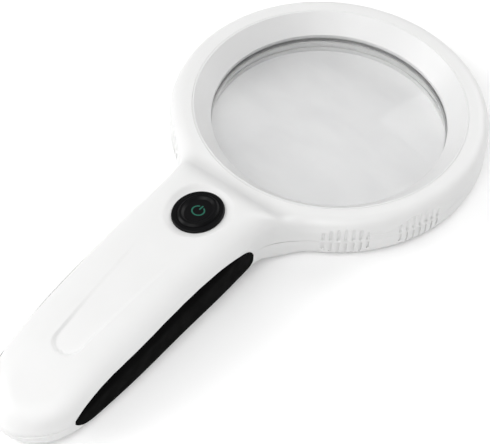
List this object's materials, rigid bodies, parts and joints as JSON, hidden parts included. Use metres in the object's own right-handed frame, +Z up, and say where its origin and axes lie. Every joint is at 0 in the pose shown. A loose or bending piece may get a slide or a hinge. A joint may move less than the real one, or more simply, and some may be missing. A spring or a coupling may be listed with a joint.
{
  "type": "illuminated low vision magnifier",
  "caption": "Hand-held magnifier: large round biconvex lens in a conical ring, arched handle with rubber flank grips, round power button and a ring light under the rim.",
  "frame": {"origin": "middle of the whole length, on the table that the lens ring rests on", "axes": "+Y from the handle to the lens head, +Z up through the button's side, +X to the right"},
  "size_m": [0.118, 0.236, 0.0274],
  "materials": {
    "white_shell": "satin moulded",
    "carrier_white": "satin moulded",
    "lens_clear": "polished clear acrylic",
    "gasket_grey": "matt",
    "window_frosted": "frosted translucent",
    "board_green": "solder mask",
    "lamp_yellow": "phosphor",
    "button_black": "satin",
    "icon_green": "satin translucent",
    "switch_grey": "moulded",
    "component_dark": "moulded",
    "wire_red": "insulated",
    "tray_white": "moulded",
    "cell_jacket": "printed sleeve",
    "contact_nickel": "plated",
    "grip_rubber": "matt",
    "screw_steel": "plated"
  },
  "bodies": {
    "casing": {"upper_housing": "white_shell", "lower_housing": "white_shell", "lens_carrier": "carrier_white", "lens": "lens_clear", "lens_gasket": "gasket_grey", "lens_retainer": "carrier_white", "light_window": "window_frosted", "led_board": "board_green", "leds": "lamp_yellow", "button_bezel": "button_black", "switch_body": "switch_grey", "main_board": "board_green", "board_components": "component_dark", "led_harness": "wire_red", "battery_harness": "wire_red", "battery_tray": "tray_white", "battery_1": "cell_jacket", "battery_2": "cell_jacket", "contact_springs": "contact_nickel", "contact_plates": "contact_nickel", "left_grip": "grip_rubber", "right_grip": "grip_rubber", "housing_screws": "screw_steel"},
    "button": {"power_button": "button_black", "button_icon": "icon_green", "switch_plunger": "switch_grey"},
    "door": {"battery_door": "white_shell"}
  },
  "joints": [
    {"name": "power_button_press", "type": "slide", "parent": "casing", "child": "button", "axis": [0, -0.0349, -0.9994], "range_m": [0, 0.0012], "stiffness_N_per_m": 700, "springref_m": -0.001},
    {"name": "battery_door_swing", "type": "hinge", "parent": "casing", "child": "door", "pos_m": [0, -0.035, 0.0047], "axis": [1, 0, 0], "range_deg": [0, 60]}
  ]
}
